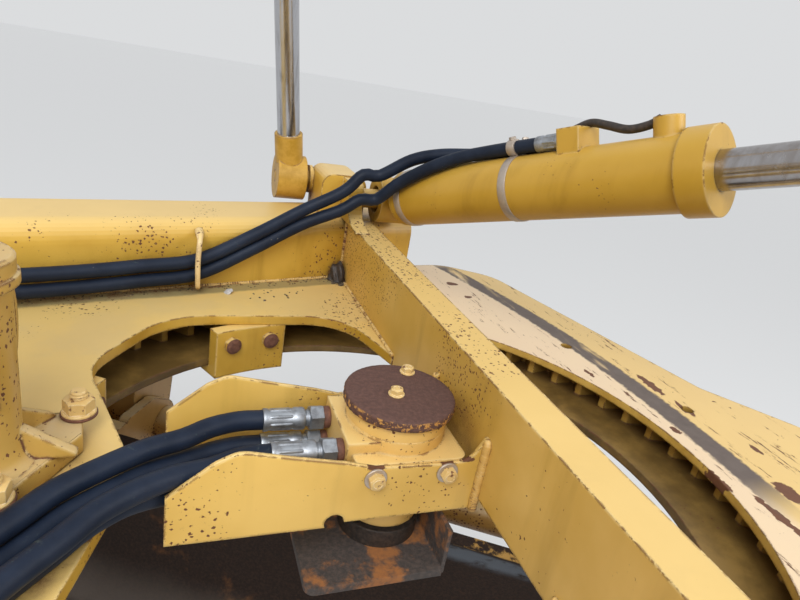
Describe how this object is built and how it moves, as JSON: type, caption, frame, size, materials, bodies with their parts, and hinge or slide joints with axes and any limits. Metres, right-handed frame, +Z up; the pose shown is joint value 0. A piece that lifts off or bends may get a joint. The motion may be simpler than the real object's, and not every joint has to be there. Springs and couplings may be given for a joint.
{
  "type": "motor grader drawbar, circle and blade group",
  "caption": "A-shaped drawbar with a toothed turning circle, hydraulic swivel, circle drive, curved blade with tip and side-shift cylinders, and lift and centre-shift cylinders.",
  "frame": {"origin": "centre of the ball at the drawbar's front end", "axes": "+X forward along the machine, +Y to its left, +Z up"},
  "size_m": [4.0649, 2.1568, 2.8032],
  "materials": {
    "yellow_paint": "worn golden machine paint with rust specks",
    "circle_paint": "golden paint polished pale and pink where it rubs",
    "blade_steel": "rust-brown steel with a worn blue-grey band",
    "edge_steel": "worn bare steel",
    "wear_metal": "dull dark metal with grease",
    "rusty_cap": "dark brown rust",
    "tan_bolt": "tan bolt heads and nuts with rust",
    "fitting_steel": "plated hose ends",
    "chrome_rod": "bright chromed rod",
    "hose_rubber": "scuffed black hose"
  },
  "bodies": {
    "drawbar": {"beam_left": "yellow_paint", "beam_right": "yellow_paint", "nose": "yellow_paint", "cross_beam": "yellow_paint", "yoke_plate": "yellow_paint", "corner_block_left": "yellow_paint", "corner_block_right": "yellow_paint", "circle_shoes": "yellow_paint", "wear_strips": "wear_metal", "drive_housing": "yellow_paint", "drive_head": "yellow_paint", "drive_motor": "yellow_paint", "drive_nuts": "tan_bolt", "swivel_housing": "yellow_paint", "swivel_cap": "rusty_cap", "swivel_bolts": "tan_bolt", "swivel_guard": "yellow_paint", "swivel_fittings": "fitting_steel", "swivel_hoses": "hose_rubber", "bulkhead_left": "yellow_paint", "bulkhead_right": "yellow_paint", "shift_hoses": "hose_rubber", "hose_staple": "yellow_paint"},
    "circle": {"circle_ring": "circle_paint", "blade_arm_left": "yellow_paint", "blade_arm_right": "yellow_paint", "tip_lug": "yellow_paint", "swivel_spool": "wear_metal", "spool_bracket": "rusty_cap"},
    "pinion": {"pinion": "wear_metal"},
    "carrier": {"carrier_left": "yellow_paint", "carrier_right": "yellow_paint", "carrier_tube": "yellow_paint", "carrier_pins": "wear_metal", "side_shift_barrel": "yellow_paint"},
    "blade": {"moldboard": "blade_steel", "rail_upper": "yellow_paint", "rail_lower": "yellow_paint", "cutting_edge": "edge_steel", "end_bits": "edge_steel", "side_shift_rod": "chrome_rod"},
    "tip_barrel": {"tip_barrel": "yellow_paint"},
    "tip_rod": {"tip_rod": "chrome_rod"},
    "lift_rod_left": {"lift_rod_left": "chrome_rod"},
    "lift_barrel_left": {"lift_barrel_left": "yellow_paint"},
    "lift_rod_right": {"lift_rod_right": "chrome_rod"},
    "lift_barrel_right": {"lift_barrel_right": "yellow_paint"},
    "centre_shift_barrel": {"centre_shift_barrel": "yellow_paint", "barrel_hoses": "hose_rubber"},
    "centre_shift_rod": {"centre_shift_rod": "chrome_rod"}
  },
  "joints": [
    {"name": "circle_turn", "type": "hinge", "parent": "drawbar", "child": "circle", "pos_m": [-2.3, 0, -0.085], "axis": [0, 0, 1], "continuous": true},
    {"name": "pinion_turn", "type": "hinge", "parent": "drawbar", "child": "pinion", "pos_m": [-1.8018, 0, -0.085], "axis": [0, 0, 1], "continuous": true},
    {"name": "blade_tip", "type": "hinge", "parent": "circle", "child": "carrier", "pos_m": [-2.54906, -0.39858, -0.745], "axis": [-0.848, 0.5299, 0], "range_deg": [-5, 35]},
    {"name": "blade_side_shift", "type": "slide", "parent": "carrier", "child": "blade", "axis": [-0.848, 0.5299, 0], "range_m": [-0.5, 0.5]},
    {"name": "tip_swing", "type": "hinge", "parent": "circle", "child": "tip_barrel", "pos_m": [-2.79282, -0.78868, -0.235], "axis": [-0.848, 0.5299, 0], "range_deg": [-15, 15]},
    {"name": "tip_rod_slide", "type": "slide", "parent": "tip_barrel", "child": "tip_rod", "axis": [0.4361, 0.6979, -0.5682], "range_m": [-0.03, 0.14]},
    {"name": "lift_swing_left", "type": "hinge", "parent": "drawbar", "child": "lift_rod_left", "pos_m": [-2.285, 0.872, 0.14], "axis": [1, 0, 0], "range_deg": [-30, 8]},
    {"name": "lift_slide_left", "type": "slide", "parent": "lift_rod_left", "child": "lift_barrel_left", "axis": [0.145, -0.2126, 0.9663], "range_m": [-0.42, 0.45]},
    {"name": "lift_swing_right", "type": "hinge", "parent": "drawbar", "child": "lift_rod_right", "pos_m": [-2.285, -0.872, 0.14], "axis": [1, 0, 0], "range_deg": [-8, 30]},
    {"name": "lift_slide_right", "type": "slide", "parent": "lift_rod_right", "child": "lift_barrel_right", "axis": [0.145, 0.2126, 0.9663], "range_m": [-0.42, 0.45]},
    {"name": "centre_shift_swing", "type": "hinge", "parent": "drawbar", "child": "centre_shift_barrel", "pos_m": [-2.503, -0.713, 0.139], "axis": [1, 0, 0], "range_deg": [-15, 15]},
    {"name": "centre_shift_slide", "type": "slide", "parent": "centre_shift_barrel", "child": "centre_shift_rod", "axis": [-0.3701, 0.8728, 0.3181], "range_m": [-0.18, 0.4]}
  ],
  "couplings": [
    {"joint": "pinion_turn", "follows": "circle_turn", "ratio": 5.8182},
    {"joint": "tip_swing", "follows": "blade_tip", "ratio": -0.19487},
    {"joint": "tip_rod_slide", "follows": "blade_tip", "m_per_rad": 0.19304}
  ]
}
